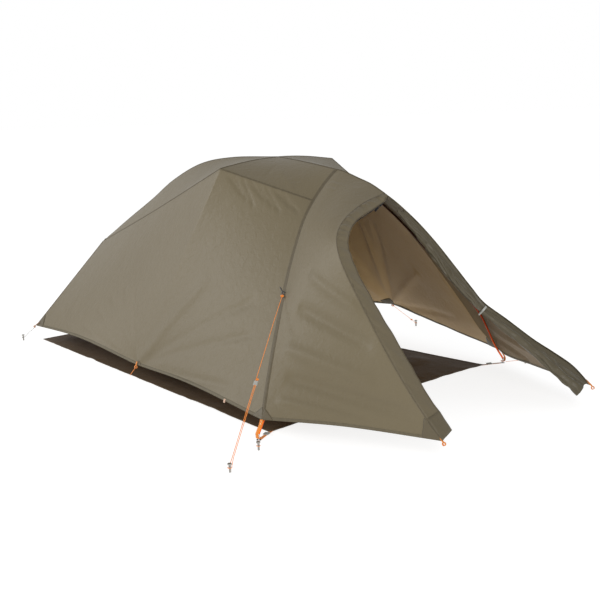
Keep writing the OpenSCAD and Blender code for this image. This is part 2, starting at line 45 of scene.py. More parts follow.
camera_turn, camera_rise, camera_roll = (math.radians(a) for a in (-40.47, 11.534, -2.15))
back = Vector((math.sin(camera_turn) * math.cos(camera_rise),
               -math.cos(camera_turn) * math.cos(camera_rise), math.sin(camera_rise)))
level = Vector((math.cos(camera_turn), math.sin(camera_turn), 0))
above = back.cross(level)
right = level * math.cos(camera_roll) + above * math.sin(camera_roll)
upward = above * math.cos(camera_roll) - level * math.sin(camera_roll)
camera_data = bpy.data.cameras.new("camera")
camera_data.sensor_width = 36
camera_data.lens = 59.37
camera_data.clip_end = 60
camera = bpy.data.objects.new("camera", camera_data)
camera_axes = Matrix((right, upward, back)).transposed().to_4x4()
camera.matrix_world = Matrix.Translation(camera_at) @ camera_axes
bpy.context.scene.collection.objects.link(camera)
bpy.context.scene.camera = camera


# Guylines and short cords. Braided polyester, 2 to 2.4 mm thick, tied to sewn loops and carried
# round the stakes. Routes are in millimetres, cord widths in metres.
thick_cord, thin_cord = 0.0024, 0.002
small_knot, large_knot = 0.0045, 0.0055
point_gap = 0.008


def new_material(name, color, roughness=0.6):
    material = bpy.data.materials.new(name)
    material.use_nodes = True
    shader = material.node_tree.nodes["Principled BSDF"]
    shader.inputs["Base Color"].default_value = (*color, 1)
    shader.inputs["Roughness"].default_value = roughness
    return material, material.node_tree, shader


def add_node(tree, kind, inputs=(), **settings):
    node = tree.nodes.new(kind)
    for key, value in settings.items():
        setattr(node, key, value)
    for key, value in inputs:
        if isinstance(value, bpy.types.NodeSocket):
            tree.links.new(value, node.inputs[key])
        else:
            node.inputs[key].default_value = value
    return node


def color_ramp(tree, factor, stops):
    ramp = add_node(tree, "ShaderNodeValToRGB", [("Fac", factor)])
    for element, (place, color) in zip(ramp.color_ramp.elements, (stops[0], stops[-1])):
        element.position = place
        element.color = (*color, 1)
    for place, color in stops[1:-1]:
        ramp.color_ramp.elements.new(place).color = (*color, 1)
    return ramp.outputs["Color"]


def calculate(tree, operation, *values):
    return add_node(tree, "ShaderNodeMath", enumerate(values), operation=operation).outputs["Value"]


def own_uv(tree):
    return add_node(tree, "ShaderNodeUVMap", uv_map="UVMap").outputs["UV"]


def own_place(tree):
    return add_node(tree, "ShaderNodeTexCoord").outputs["Object"]


def set_bump(tree, shader, height, distance, strength=1.0):
    bump = add_node(tree, "ShaderNodeBump",
                    [("Height", height), ("Distance", distance), ("Strength", strength)])
    tree.links.new(bump.outputs["Normal"], shader.inputs["Normal"])


def braid(name, color, shade):
    """Two sets of strands that wind round the cord, from its own UV map in metres, with painted shade in the
    low places between the strands.
    """
    material, tree, shader = new_material(name, color, 0.7)
    uv = own_uv(tree)
    waves = []
    for turn in (0.9, -0.9):
        spin = add_node(tree, "ShaderNodeMapping", [("Vector", uv), ("Rotation", (0, 0, turn))])
        wave = add_node(tree, "ShaderNodeTexWave", [("Vector", spin.outputs["Vector"]), ("Scale", 420.0)])
        waves.append(wave.outputs["Fac"])
    height = calculate(tree, "MULTIPLY", *waves)
    # Painted shade: the darker colour goes where the strands' height is low, between them.
    tree.links.new(color_ramp(tree, height, [(0.0, shade), (0.45, color)]), shader.inputs["Base Color"])
    set_bump(tree, shader, height, 0.0003)
    shader.inputs["Sheen Weight"].default_value = 0.2
    return material


orange_braid = braid("orange_braid", (0.95, 0.3, 0.012), (0.8, 0.2, 0.008))
olive_braid = braid("olive_braid", (0.12, 0.11, 0.08), (0.07, 0.062, 0.043))


def add_object(name, bm, materials):
    mesh = bpy.data.meshes.new(name)
    bm.to_mesh(mesh)
    bm.free()
    for material in materials:
        mesh.materials.append(material)
    mesh.polygons.foreach_set("use_smooth", [True] * len(mesh.polygons))
    made = bpy.data.objects.new(name, mesh)
    bpy.context.scene.collection.objects.link(made)
    return made


def unit(v):
    return v / np.linalg.norm(v)


def mm(points):
    return np.array(points, float) * 0.001


def mix(a, b, t):
    return a + (b - a) * t


def curve(points, count):
    """A smooth curve through the points, as count + 1 points."""
    points = np.array(points, float)
    last = len(points) - 1
    padded = np.vstack([2 * points[0] - points[1], points, 2 * points[-1] - points[-2]])
    out = []
    for k in range(count + 1):
        s = k * last / count
        i = min(int(s), last - 1)
        t = s - i
        a, b, c, d = padded[i:i + 4]
        out.append(0.5 * (2 * b + (c - a) * t + (2 * a - 5 * b + 4 * c - d) * t ** 2
                          + (3 * b - a - 3 * c + d) * t ** 3))
    return np.array(out)


def evenly(path, step):
    """The same line with points at an even spacing."""
    path = np.array(path)
    run = np.concatenate([[0], np.cumsum(np.linalg.norm(np.diff(path, axis=0), axis=1))])
    marks = np.linspace(0, run[-1], max(4, int(run[-1] / step)) + 1)
    return np.array([[np.interp(s, run, path[:, k]) for k in range(3)] for s in marks])


def length_of(path):
    return float(np.sum(np.linalg.norm(np.diff(path, axis=0), axis=1)))


def frames(path):
    """Tangent and two cross directions at each point, carried along without a twist."""
    tangents = np.gradient(np.array(path), axis=0)
    tangents /= np.linalg.norm(tangents, axis=1)[:, None]
    side = unit(np.cross(tangents[0], (0.2, 0.1, 1)))
    out = []
    for t in tangents:
        side = unit(side - t * side.dot(t))
        out.append((t, side, np.cross(t, side)))
    return out


def tube(name, path, radius, material, sides=10):
    """A round cord along a path; radius is one number or one for each point."""
    radii = np.broadcast_to(radius, len(path))
    bm = bmesh.new()
    uv = bm.loops.layers.uv.new("UVMap")
    turn = [2 * math.pi * s / sides for s in range(sides)]
    rings, run = [], 0.0
    for k, (point, (_, x, y)) in enumerate(zip(path, frames(path))):
        run += 0 if k == 0 else np.linalg.norm(path[k] - path[k - 1])
        ring = [bm.verts.new(point + radii[k] * (x * math.cos(a) + y * math.sin(a))) for a in turn]
        rings.append((run, ring))
    wide = 2 * math.pi * float(np.max(radii))
    for (v0, low), (v1, high) in zip(rings, rings[1:]):
        for s in range(sides):
            face = bm.faces.new((low[s], low[(s + 1) % sides], high[(s + 1) % sides], high[s]))
            for loop, place in zip(face.loops, ((s, v0), (s + 1, v0), (s + 1, v1), (s, v1))):
                loop[uv].uv = (place[0] / sides * wide, place[1])
    bm.faces.new(list(reversed(rings[0][1])))
    bm.faces.new(rings[-1][1])
    return add_object(name, bm, [material])


grip_height = 18
mouth = math.radians(40)
half_strand_gap = 2.6
foot_near, foot_far = (-748, -1132, 8), (748, -1132, 8)
stakes = {"stake_leg_guy": (-1025, -1316), "stake_front_near": (-815, -1214), "stake_front_far": (815, -1214),
          "stake_side_far": (1057, -287), "stake_rear_near": (-622, 1156), "stake_rear_far": (622, 1156)}


def loop_round(stake, toward, radius=8.0, steps=14):
    """The cord's turn round a stake, left open by the mouth angle each side of its own line."""
    x, y = stakes[stake]
    start = math.atan2(toward[1], toward[0]) + mouth
    turns = [start + (2 * math.pi - 2 * mouth) * k / steps for k in range(steps + 1)]
    return [(x + radius * math.cos(a), y + radius * math.sin(a), grip_height) for a in turns]


def grip(stake):
    return np.array((*stakes[stake], grip_height), float)


def knot(name, at, radius, material):
    """An overhand knot: a small trefoil of the same cord."""
    turns = np.linspace(0, 2 * math.pi, 37)
    path = [np.array(at) + radius * 0.36 * np.array((math.sin(a) + 2 * math.sin(2 * a),
            math.cos(a) - 2 * math.cos(2 * a), -math.sin(3 * a))) for a in turns]
    return tube(name, path, radius * 0.42, material, 8)


def add_cord(name, route, width, material):
    path = evenly(mm(route), point_gap)
    piece = tube(name + "_braid", path, width / 2, material)
    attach(piece, "root")
    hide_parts(name)


guy_top = np.array((-464, -968, 509.0))
guy_foot = grip("stake_leg_guy")
guy_run = unit(guy_top - guy_foot)
guy_side = unit(np.cross(guy_run, (0, 0, 1)))


def guy_at(distance, side):
    """A place up the near guyline; side is -1 or 1 for its two strands, 0 for the middle."""
    return guy_foot + guy_run * distance + guy_side * side * half_strand_gap


tail_knot = knot("guy_tail_knot", guy_at(390, 1) * 0.001, small_knot, orange_braid)
top_knot = knot("guy_top_knot", guy_at(812, 0) * 0.001, large_knot, orange_braid)
for piece in (tail_knot, top_knot):
    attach(piece, "root")
add_cord("guy_leg_near", [guy_top] + [guy_at(d, -1) for d in (700, 500, 390, 380, 300, 200, 100, 40)]
         + loop_round("stake_leg_guy", guy_run) + [guy_at(d, 1) for d in (40, 100, 200, 300, 386)],
         thick_cord, orange_braid)

side_top = np.array((802, -359, 170.0))
side_knot_at = mix(side_top, grip("stake_side_far"), 0.8)
side_knot = knot("side_guy_knot", side_knot_at * 0.001, small_knot, orange_braid)
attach(side_knot, "root")
add_cord("guy_side_far", [mix(side_top, side_knot_at, share) for share in (0, 0.35, 0.7, 1)]
         + loop_round("stake_side_far", side_top - grip("stake_side_far")),
         thin_cord, orange_braid)


def foot_cord(foot, stake):
    """From the ring at a pole foot to its stake and round it."""
    foot = np.array(foot, float)
    reach = grip(stake) - foot
    out = foot + unit(reach * (1, 1, 0)) * 14
    return [out, foot + reach * 0.5, foot + reach * 0.8] + loop_round(stake, -reach)


add_cord("stake_cord_near", foot_cord(foot_near, "stake_front_near"), thin_cord, orange_braid)
add_cord("stake_cord_far", foot_cord(foot_far, "stake_front_far"), thin_cord, orange_braid)
for name, side in (("near", 1), ("far", -1)):
    hem_loop = np.array((-570 * side, 1108, 73.0))
    stake = "stake_rear_" + name
    add_cord("rear_cord_" + name, [hem_loop, mix(hem_loop, grip(stake), 0.5)]
             + loop_round(stake, hem_loop - grip(stake))[::side], thin_cord, olive_braid)
side_hem, sheet_loop = np.array((-628, -56, 70.0)), np.array((-606, 40, 6.0))
add_cord("side_cord_near", [mix(side_hem, sheet_loop, share) for share in (0, 0.35, 0.7, 1)],
         thick_cord, orange_braid)


# Rain fly. Coated ripstop cloth in one sheet of sewn panels: two roof panels, two sides, the rear
# wall and two vestibule walls, drawn over the poles and down to the guy points.
hub = (0, -807, 972)
brow_tip = (-338, -413, 988)
crossing = (0, -411, 1018)
rear_peak = (0, 1240, 498)
rear_top = (-25, 1238, 486)
rear_corner = (-564, 1100, 85)
front_corner = (-722, -1124, 76)
vest_corner = (-458, -1804, 88)
door_top = (0, -1100, 880)
seam_belly = (-181, 412, 730)
tent_middle = np.array((0, -0.3, 0.25))
cloth_thick = 0.0005
hem_free = (1, 0, 1, 1)
narrow_seam = 0.005


def on_arch(x, z):
    """A point on the near leg of the front arch, which leans forward as it comes down."""
    return (-x, hub[1] - 0.333 * (hub[2] - z), z)


arch_top = mm([hub, on_arch(50, 942), on_arch(105, 905), on_arch(174, 852)])
arch_low = mm([on_arch(174, 852), on_arch(250, 782), on_arch(340, 672), on_arch(430, 545), on_arch(515, 410),
               on_arch(590, 286), on_arch(655, 172), front_corner])
ridge_front = mm([hub, (0, -600, 999), crossing])
ridge_rear = mm([crossing, (0, -60, 1008), (0, 214, 970), (0, 475, 877), (0, 700, 762), (0, 980, 628),
                 rear_peak])
brow_line = mm([crossing, (-170, -412, 1010), brow_tip])
roof_seam = mm([brow_tip, seam_belly, rear_top])
vest_ridge = mm([hub, (0, -861, 963), (0, -940, 940), (0, -1020, 916), door_top])
flap_seam = mm([door_top, (-125, -1117, 858), (-215, -1138, 834), (-300, -1165, 804), (-372, -1203, 762),
                (-414, -1247, 713), (-440, -1310, 642), (-456, -1420, 519), (-472, -1550, 374),
                (-474, -1680, 228), vest_corner])
far_edge = mm([door_top, (40, -1140, 833), (84, -1209, 755), (112, -1285, 671), (130, -1365, 582),
               (147, -1440, 497), (163, -1492, 439), (227, -1554, 370), (303, -1630, 284), (371, -1685, 223),
               (430, -1738, 163), (458, -1804, 88)])
flip = np.array((-1, 1, 1))


def span_sheet(top, bottom, left, right, belly=(0, 0, 0)):
    """A sheet spanned between four edges, as rows of points from the top edge down. belly is how
    far it is pushed out near its left edge, low down."""
    u = np.linspace(0, 1, len(top))[None, :, None]
    v = np.linspace(0, 1, len(left))[:, None, None]
    corners = mix(mix(top[0], top[-1], u), mix(bottom[0], bottom[-1], u), v)
    push = np.array(belly) * 64 * u * (1 - u) ** 3 * v ** 2 * (1 - v)
    return mix(top[None], bottom[None], v) + mix(left[:, None], right[:, None], u) - corners + push


def grid_normals(points):
    down, along = np.gradient(points, axis=0), np.gradient(points, axis=1)
    normals = np.cross(along, down)
    return normals / np.maximum(np.linalg.norm(normals, axis=2), 1e-12)[..., None]


def outward(points, facing):
    """Normals of a grid, turned to the side that facing says."""
    normals = grid_normals(points)
    middle = normals[len(normals) // 2, len(normals[0]) // 2]
    return normals * (1 if middle.dot(facing) > 0 else -1)


def ruffle(points, facing, folds=(), locked=(1, 1, 1, 1), swell=0.0022, seed=0):
    """Pushes folds and slack into a sheet. A fold runs between two places given as shares of the
    sheet's width and height, with its half width and height in millimetres. locked says which edges
    stay put: top, bottom, left, right."""
    rows, cols = len(points) - 1, len(points[0]) - 1
    normals = outward(points, facing)
    lift = np.zeros(points.shape[:2])
    for u0, v0, u1, v1, wide, high in folds:
        start = points[round(v0 * rows), round(u0 * cols)]
        run = points[round(v1 * rows), round(u1 * cols)] - start
        t = np.clip(((points - start) @ run) / run.dot(run), 0, 1)
        off = np.linalg.norm(points - start - t[..., None] * run, axis=2)
        ends = np.sqrt(np.clip(4 * t * (1 - t), 0, 1))
        lift += high * 0.001 * np.exp(-(off / (wide * 0.001)) ** 2) * ends
    for i in range(rows + 1):
        for j in range(cols + 1):
            p = Vector(points[i, j]) + Vector((seed * 3.7, 0, 0))
            lift[i, j] += swell * (noise.noise(p * 4.0) + 0.35 * noise.noise(p * 13.0))
    i, j = np.arange(rows + 1)[:, None], np.arange(cols + 1)[None, :]
    mask = np.ones_like(lift)
    for lock, gap in zip(locked, (i, rows - i, j, cols - j)):
        if lock:
            mask = np.minimum(mask, np.clip(gap / 3.0, 0, 1))
    return points + normals * (lift * mask)[..., None]


def lay_grid(bm, points, turned, size, material=0):
    """Adds the sheet to a mesh, with a UV map in metres. turned makes the other side the outer one."""
    rows, cols = len(points) - 1, len(points[0]) - 1
    made = bmesh.ops.create_grid(bm, x_segments=cols, y_segments=rows, size=0.5, calc_uvs=True)
    faces = {face for vert in made["verts"] for face in vert.link_faces}
    uv = bm.loops.layers.uv.verify()
    for face in faces:
        face.material_index = material
        for loop in face.loops:
            loop[uv].uv = (loop[uv].uv[0] * size[0], loop[uv].uv[1] * size[1])
    for vert in made["verts"]:
        i, j = round((0.5 - vert.co.y) * rows), round((vert.co.x + 0.5) * cols)
        vert.co = points[i, j]
    if turned:
        bmesh.ops.reverse_faces(bm, faces=list(faces))


def turned_at(points, i, j, out):
    """Whether the sheet has to be turned for its outer side, at one of its faces, to look along out."""
    return np.cross(points[i + 1, j] - points[i, j], points[i, j + 1] - points[i, j]).dot(out) > 0


def thicken(piece, thickness, inside=0):
    """Gives a sheet its thickness on the inner side; inside=1 gives that side its own material."""
    shell = piece.modifiers.new("cloth", "SOLIDIFY")
    shell.thickness = thickness
    shell.offset = -1
    shell.material_offset = inside


def ripstop(name, outer, deep, roughness=0.52, sheen=0.25):
    """Coated ripstop: plain weave with a doubled thread every few millimetres, and faint crinkles."""
    thread_gap, thread_height = 0.005, 0.08
    material, tree, shader = new_material(name, outer, roughness)
    uv = own_uv(tree)
    split = add_node(tree, "ShaderNodeSeparateXYZ", [("Vector", uv)])
    lines = []
    for axis in ("X", "Y"):
        beat = calculate(tree, "MULTIPLY", split.outputs[axis], 1 / thread_gap)
        lines.append(calculate(tree, "GREATER_THAN", calculate(tree, "PINGPONG", beat, 1.0), 0.9))
    thread = calculate(tree, "MAXIMUM", *lines)
    place = own_place(tree)
    crinkle = add_node(tree, "ShaderNodeTexNoise",
                       [("Vector", place), ("Scale", 34.0), ("Detail", 5.0), ("Roughness", 0.62),
                        ("Distortion", 0.6)])
    drift = add_node(tree, "ShaderNodeTexNoise", [("Vector", place), ("Scale", 2.2), ("Detail", 3.0)])
    blend = calculate(tree, "MULTIPLY_ADD", drift.outputs["Fac"], 0.35, 0.33)
    tone = color_ramp(tree, blend, [(0.2, deep), (0.8, outer)])
    bright = (*[c * 1.12 for c in outer], 1)
    lit = add_node(tree, "ShaderNodeMix", [("Factor", thread), (6, tone), (7, bright)], data_type="RGBA")
    tree.links.new(lit.outputs[2], shader.inputs["Base Color"])
    weave = calculate(tree, "MULTIPLY_ADD", thread, thread_height, crinkle.outputs["Fac"])
    set_bump(tree, shader, weave, 0.0045, 0.6)
    shader.inputs["Specular IOR Level"].default_value = 0.3
    shader.inputs["Sheen Weight"].default_value = sheen
    shader.inputs["Sheen Roughness"].default_value = 0.4
    return material


fly_outside = ripstop("fly_outside", (0.146, 0.119, 0.07), (0.128, 0.103, 0.059), sheen=0.08)
# The inner side of the body is painted far lighter than the outer side of the same cloth: painted light for
# the daylight that shines through it.
fly_inside_painted_light = ripstop("fly_inside_painted_light", (0.5, 0.345, 0.17), (0.41, 0.275, 0.13), roughness=0.6, sheen=0.05)
# The inner side of the vestibule walls is painted lighter than the outer side too: painted light for the
# daylight through the cloth.
porch_inside_painted_light = ripstop("porch_inside_painted_light", (0.2, 0.145, 0.08), (0.17, 0.12, 0.065), roughness=0.6, sheen=0.05)

roof_rows, wall_rows, front_cols, rear_cols = 26, 84, 76, 72
brow_edge = curve(brow_line, roof_rows)
roof_folds = [(0.1, 0.95, 0.3, 0.55, 14, 2.5), (0.3, 0.9, 0.36, 0.4, 10, -2)]
roof_front = span_sheet(curve(ridge_front, front_cols), curve([arch_top[3], brow_line[2]], front_cols),
                        curve(arch_top, roof_rows), brow_edge)
roof_rear = span_sheet(curve(ridge_rear, rear_cols), curve(roof_seam, rear_cols), brow_edge,
                       curve([ridge_rear[-1], roof_seam[-1]], roof_rows))
roof = np.concatenate([roof_front, roof_rear[:, 1:]], axis=1)


def side_wall(tie, front_hem, rear_hem):
    """A long side in two panels that meet in a crease from the brow pole's tip down to the tie point."""
    crease = curve([brow_line[2], tie], wall_rows)
    front = span_sheet(curve([arch_top[3], brow_line[2]], front_cols),
                       curve([arch_low[-1], front_hem, tie], front_cols), curve(arch_low, wall_rows), crease)
    rear = span_sheet(curve(roof_seam, rear_cols), curve([tie, rear_hem, mm(rear_corner)], rear_cols), crease,
                      curve(mm([rear_top, rear_corner]), wall_rows))
    return np.concatenate([front, rear[:, 1:]], axis=1)


side_near = side_wall(*mm([(-625, -60, 80), (-672, -560, 98), (-604, 520, 114)]))
side_far = side_wall(*mm([(-790, -360, 180), (-756, -740, 130), (-655, 420, 150)]))
# Tension folds that fan out from the near tie point, then short ones below the roof seam.
tie_u = front_cols / (front_cols + rear_cols)


def ahead(share):
    """A place in front of the tie point, as a share of the way to the arch seam."""
    return tie_u * (1 - share)


def behind(share):
    """A place behind the tie point, as a share of the way to the rear corner."""
    return mix(tie_u, 1, share)


def fold_fan(*ends):
    """Folds that all start at the tie point, each given by its far end, half width and height."""
    return [(tie_u, 1, *end) for end in ends]


fan = fold_fan((ahead(0.86), 0.66, 17, -11), (ahead(0.80), 0.52, 20, -12), (ahead(0.36), 0.5, 30, 8),
               (behind(0.26), 0.60, 11, -9), (behind(0.36), 0.60, 10, -10), (behind(0.45), 0.66, 11, -10),
               (behind(0.5), 0.76, 10, -8), (behind(0.55), 0.9, 11, -6), (ahead(0.77), 0.93, 20, -9))
short = [(0.475 - 0.044 * k, 0.012, 0.345 - 0.044 * k, 0.10 + 0.022 * (k % 3), 6, -7.5) for k in range(8)]
side_near = ruffle(side_near, (-1, 0, 0.2), fan + short, hem_free, seed=1)
far_fan = fold_fan((ahead(0.3), 0.35, 26, 12), (ahead(0.08), 0.3, 22, -11), (behind(0.1), 0.35, 22, 11),
                   (behind(0.23), 0.45, 22, -10), (ahead(0.62), 0.6, 24, -10), (ahead(0.77), 0.85, 20, 8))
side_far = ruffle(side_far, (-1, 0, 0.2), far_fan, hem_free, swell=0.005, seed=2) * flip
roof_far = ruffle(roof, (-1, 0, 1), roof_folds, seed=4) * flip
roof = ruffle(roof, (-1, 0, 1), roof_folds, seed=3)
rear_wall_cols = 40
rear_side = curve(mm([rear_top, rear_corner]), wall_rows)
rear_wall = span_sheet(curve(mm([rear_top, np.array(rear_top) * flip]), rear_wall_cols),
                       curve(mm([rear_corner, (0, 1172, 104), np.array(rear_corner) * flip]), rear_wall_cols),
                       rear_side, rear_side * flip)
rear_wall = ruffle(rear_wall, (0, 1, 0), [(0.5, 0.9, 0.5, 0.3, 30, -4)], hem_free, seed=5)
arch_edge = np.concatenate([curve(arch_top, roof_rows), curve(arch_low, wall_rows)[1:]])
vest_cols = 46


def vestibule(hem, seam, belly=(0, 0, 0)):
    """One vestibule wall, between the ridge, the front arch, its hem and the seam beside the door."""
    return span_sheet(curve(vest_ridge, vest_cols), curve(mm(hem), vest_cols), arch_edge,
                      curve(seam, roof_rows + wall_rows), belly)


low_waves = [(0.12, 0.76, 0.80, 0.87, 26, 18), (0.16, 0.85, 0.94, 0.95, 22, -18),
             (0.3, 0.66, 0.92, 0.79, 24, -17), (0.08, 0.93, 0.62, 0.985, 15, 12),
             (0.5, 0.58, 0.97, 0.72, 22, 14)]
top_puckers = [(0.12, 0.10 + 0.022 * k, 0.42, 0.085 + 0.022 * k, 5, 2.2 if k % 2 else -2.2)
               for k in range(4)]
vest_near = ruffle(vestibule([front_corner, (-592, -1450, 92), vest_corner], flap_seam), (-1, 0, 0.3),
                   low_waves + top_puckers, hem_free, seed=6)
far_hem = [front_corner, (-712, -1190, 52), (-620, -1420, 62), vest_corner]
pole_bow = np.array((-0.8, -0.5, 0.33)) * 0.042
vest_far = flip * ruffle(vestibule(far_hem, far_edge * flip, pole_bow), (-1, 0, 0.3), low_waves, hem_free,
                         seed=7)

bm = bmesh.new()
for points, turned, size, material in (
        (roof, True, (2.1, 0.34), 0), (roof_far, False, (2.1, 0.34), 0), (side_near, True, (2.2, 0.9), 0),
        (side_far, False, (2.2, 0.9), 0), (rear_wall, True, (1.1, 0.6), 0), (vest_near, False, (0.7, 1.1), 2),
        (vest_far, True, (0.7, 1.1), 2)):
    lay_grid(bm, points, turned, size, material)
bmesh.ops.remove_doubles(bm, verts=bm.verts, dist=0.0006)
fly = add_object("rain_fly", bm, [fly_outside, fly_inside_painted_light, fly_outside, porch_inside_painted_light])
thicken(fly, cloth_thick, 1)


def outside_of(edge, one, other):
    """Directions across a seam, into the cloth on each side of it, and out of the tent there."""
    into_one, into_other = (np.array([unit(v) for v in side - edge]) for side in (one, other))
    out = np.array([unit(v) for v in np.cross(np.gradient(edge, axis=0), into_other - into_one)])
    middle = len(edge) // 2
    return into_one, into_other, out * np.sign(out[middle].dot(edge[middle] - tent_middle))


def lay_seam(bm, edge, one, other, half=0.0105):
    """A felled seam: doubled cloth over the join of two panels, with two rows of stitches."""
    into_one, into_other, out = outside_of(edge, one, other)
    points = [edge + into * half * share + out * lift for into, share, lift in
              ((into_one, 1, 0.0003), (into_one, 0.8, 0.0012), (into_one, 0.35, 0.001), (into_one, 0, 0.0017),
               (into_other, 0.35, 0.001), (into_other, 0.8, 0.0012), (into_other, 1, 0.0003))]
    grid = np.stack(points, axis=1)
    lay_grid(bm, grid, turned_at(grid, 0, 0, out[0]), (0.013, length_of(edge)))


def lay_hem(bm, edge, inner, width=0.013):
    """A hem: the cloth folded over twice along its free edge and sewn down."""
    into = np.array([unit(v) for v in inner - edge])
    out = np.array([unit(v) for v in np.cross(np.gradient(edge, axis=0), into)])
    middle = len(edge) // 2
    out *= np.sign(out[middle].dot(edge[middle] - tent_middle))
    section = ((1, 0.0002), (0.93, 0.001), (0.5, 0.0008), (0.07, 0.0011), (-0.05, 0), (0.07, -0.0016),
               (0.5, -0.0014), (0.93, -0.0015), (1, -0.0007))
    grid = np.stack([edge + into * width * share + out * lift for share, lift in section], axis=1)
    lay_grid(bm, grid, turned_at(grid, 0, 0, out[0]), (2 * width, length_of(edge)))


def sample(grid, u, v):
    """The place on a panel at shares u of its width and v of its height."""
    rows, cols = len(grid) - 1, len(grid[0]) - 1
    y, x = min(max(v, 0), 1) * rows, min(max(u, 0), 1) * cols
    i, j = min(int(y), rows - 1), min(int(x), cols - 1)
    high, low = (mix(grid[row, j], grid[row, j + 1], x - j) for row in (i, i + 1))
    return mix(high, low, y - i)


def lay_patch(bm, grid, u, v, sweep, reach, facing, lift=0.0011):
    """A reinforcing patch cut as a fan round one point of a panel. sweep is its two end angles in
    degrees, from the panel's width towards its top."""
    high = length_of(grid[:, round(u * (len(grid[0]) - 1))])
    wide = max(length_of(grid[round(min(max(v - 0.02, 0), 1) * (len(grid) - 1))]), 0.2)
    normals = outward(grid, facing)
    steps, spokes = 8, 20
    rows = []
    for i in range(steps + 1):
        out = i / steps
        row = []
        for j in range(spokes + 1):
            angle = math.radians(mix(*sweep, j / spokes))
            far = reach * (1 - 0.22 * math.sin(math.pi * j / spokes)) * out
            at = (u + far * math.cos(angle) / wide, v - far * math.sin(angle) / high)
            row.append(sample(grid, *at) + sample(normals, *at) * lift * (1 if i < steps else 0.4))
        rows.append(row)
    rows = np.array(rows)
    lay_grid(bm, rows, turned_at(rows, 1, 5, sample(normals, u, v) * lift), (reach, reach * 1.5))


def sewn_cloth(name, color, thread, *row_places):
    """Doubled fly cloth with two rows of stitches, from the strip's own UV map in metres, with painted shade
    in the hollows of its puckers.
    """
    stitch_length, thread_half = 0.0016, 0.00055
    material, tree, shader = new_material(name, color, 0.55)
    uv = own_uv(tree)
    split = add_node(tree, "ShaderNodeSeparateXYZ", [("Vector", uv)])
    rows = [calculate(tree, "COMPARE", split.outputs["X"], at, thread_half) for at in row_places]
    beat = calculate(tree, "MULTIPLY", split.outputs["Y"], 1 / stitch_length)
    gap = calculate(tree, "GREATER_THAN", calculate(tree, "PINGPONG", beat, 1.0), 0.3)
    stitch = calculate(tree, "MULTIPLY", calculate(tree, "MAXIMUM", *rows), gap)
    pucker = add_node(tree, "ShaderNodeTexNoise",
                      [("Vector", own_place(tree)), ("Scale", 90.0), ("Detail", 4.0)]).outputs["Fac"]
    # Painted shade: the low places of the pucker bump are painted darker.
    tone = color_ramp(tree, pucker, [(0.3, [c * 0.8 for c in color]), (0.7, color)])
    sewn = add_node(tree, "ShaderNodeMix", [("Factor", stitch), (6, tone), (7, (*thread, 1))],
                    data_type="RGBA")
    tree.links.new(sewn.outputs[2], shader.inputs["Base Color"])
    set_bump(tree, shader, calculate(tree, "MULTIPLY_ADD", stitch, -0.3, pucker), 0.0015, 0.5)
    shader.inputs["Specular IOR Level"].default_value = 0.2
    return material


seam_cloth = sewn_cloth("seam_cloth", (0.106, 0.086, 0.053), (0.026, 0.02, 0.012), 0.0022, 0.0108)
hem_cloth = sewn_cloth("hem_cloth", (0.125, 0.105, 0.067), (0.04, 0.032, 0.02), 0.0035, 0.0225)
patch_cloth = ripstop("patch_cloth", (0.105, 0.086, 0.051), (0.09, 0.072, 0.042), sheen=0.08)

bm = bmesh.new()
for line, top_grid, wall_grid, vest_grid, rear_line in (
        (arch_edge, roof, side_near, vest_near, rear_wall[:, 1]),
        (arch_edge * flip, roof_far, side_far, vest_far, rear_wall[:, -2])):
    lay_seam(bm, line, np.concatenate([top_grid[:, 2], wall_grid[1:, 2]]), vest_grid[:, 2])
    lay_seam(bm, top_grid[-1], top_grid[-3], wall_grid[2], 0.004)
    lay_seam(bm, top_grid[:, front_cols], top_grid[:, front_cols - 2], top_grid[:, front_cols + 2], 0.004)
    lay_seam(bm, wall_grid[:, -1], wall_grid[:, -3], rear_line, narrow_seam)
lay_seam(bm, roof[0], roof[2], roof_far[2], narrow_seam)
lay_seam(bm, vest_near[0], vest_near[2], vest_far[2], narrow_seam)
fly_seams = add_object("fly_seams", bm, [seam_cloth])

bm = bmesh.new()
for grid in (side_near, side_far, vest_near, vest_far, rear_wall):
    lay_hem(bm, grid[-1], grid[-2])
lay_hem(bm, vest_far[:, -1], vest_far[:, -2], 0.011)
fly_hems = add_object("fly_hems", bm, [hem_cloth])

bm = bmesh.new()
for wall_grid, vest_grid, facing in ((side_near, vest_near, (-1, 0, 0.2)), (side_far, vest_far, (1, 0, 0.2))):
    lay_patch(bm, wall_grid, 0, 1, (0, 86), 0.06, facing)
    lay_patch(bm, vest_grid, 0, 1, (0, 84), 0.05, facing)
    lay_patch(bm, wall_grid, tie_u, 1, (4, 176), 0.028, facing)
    lay_patch(bm, wall_grid, 1, 1, (95, 180), 0.085, facing)
    lay_patch(bm, vest_grid, 1, 1, (96, 180), 0.07, facing)
lay_patch(bm, side_far, tie_u, 1, (25, 155), 0.05, (1, 0, 0.2), -0.0016)
lay_patch(bm, side_far, 0, 1, (0, 86), 0.09, (1, 0, 0.2), -0.0016)
for u, sweep in ((0, (0, 85)), (1, (95, 180))):
    lay_patch(bm, rear_wall, u, 1, sweep, 0.085, (0, 1, 0))
fly_patches = add_object("fly_patches", bm, [patch_cloth])
thicken(fly_patches, 0.0008)
for trim in (fly_seams, fly_hems, fly_patches):
    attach(trim, "root")

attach(fly, "root")
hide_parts("fly_rear_wall", "vestibule_near", "vestibule_far",
            *[f"fly_{part}_{side}_{k}" for part in ("roof", "side") for side in ("near", "far")
              for k in (1, 2, 3)])


